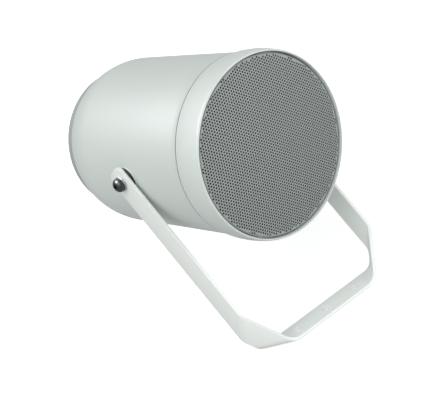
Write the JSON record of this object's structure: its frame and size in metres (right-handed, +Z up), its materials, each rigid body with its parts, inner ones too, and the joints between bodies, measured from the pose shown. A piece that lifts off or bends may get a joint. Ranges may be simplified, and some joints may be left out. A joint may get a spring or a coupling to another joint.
{
  "type": "sound projector speaker",
  "caption": "Round moulded loudspeaker housing with a domed perforated grille that tilts in a folded strip bracket for wall or ceiling fixing.",
  "frame": {"origin": "middle of the bracket's foot, on its underside, on the axis of the middle hole", "axes": "+Z up out of the foot, -Y the way the speaker faces, X along the tilt pivot"},
  "size_m": [0.2068, 0.2749, 0.2767],
  "materials": {
    "bracket_powder_coat": "light grey powder coat on steel, satin",
    "housing_abs": "light grey moulded ABS, fine satin",
    "grille_powder_coat": "light grey powder coat on perforated steel",
    "dust_cloth": "black open cloth",
    "black_rubber": "black rubber, dull",
    "zinc_steel": "bright zinc plate",
    "blacked_steel": "black oxide steel, slightly oily",
    "basket_paint": "black paint on pressed steel",
    "ferrite": "dark sintered ferrite",
    "core_steel": "stacked silicon steel sheets, varnished",
    "copper_winding": "enamelled copper wire",
    "cone_paper": "black pressed paper pulp",
    "spider_cloth": "resin-stiffened cotton",
    "pad_nylon": "black nylon, dull",
    "insert_brass": "turned brass",
    "terminal_ceramic": "unglazed white steatite",
    "gland_nylon": "light grey nylon"
  },
  "bodies": {
    "bracket": {"mounting_bracket": "bracket_powder_coat"},
    "housing": {"housing_shell": "housing_abs", "front_bezel": "housing_abs", "rear_cover": "housing_abs", "front_grille": "grille_powder_coat", "dust_cloth": "dust_cloth", "rear_seal": "black_rubber", "driver_gasket": "black_rubber", "cone_surround": "black_rubber", "gland_seal": "black_rubber", "rear_cover_screws": "zinc_steel", "driver_screws": "zinc_steel", "transformer_screws": "zinc_steel", "terminal_mount_screws": "zinc_steel", "plain_washer_left": "zinc_steel", "plain_washer_right": "zinc_steel", "lock_washer_left": "blacked_steel", "lock_washer_right": "blacked_steel", "transformer_frame": "zinc_steel", "magnet_top_plate": "zinc_steel", "pole_yoke": "zinc_steel", "pivot_bolt_left": "blacked_steel", "pivot_bolt_right": "blacked_steel", "driver_basket": "basket_paint", "magnet_ring": "ferrite", "transformer_core": "core_steel", "transformer_coil": "copper_winding", "cone_spider": "spider_cloth", "friction_pad_left": "pad_nylon", "friction_pad_right": "pad_nylon", "pivot_insert_left": "insert_brass", "pivot_insert_right": "insert_brass", "terminal_screws": "insert_brass", "terminal_block": "terminal_ceramic", "gland_body": "gland_nylon", "gland_locknut": "gland_nylon", "gland_dome_nut": "gland_nylon"},
    "cone": {"speaker_cone": "cone_paper", "dust_cap": "cone_paper", "voice_coil": "copper_winding"}
  },
  "joints": [
    {"name": "tilt", "type": "hinge", "parent": "bracket", "child": "housing", "pos_m": [0, 0.1223, 0.1842], "axis": [-1, 0, 0], "range_deg": [-30, 90]},
    {"name": "cone_stroke", "type": "slide", "parent": "housing", "child": "cone", "axis": [0, -1, 0], "range_m": [-0.0025, 0.0025], "stiffness_N_per_m": 1500, "deforming": ["cone_surround", "cone_spider"]}
  ]
}
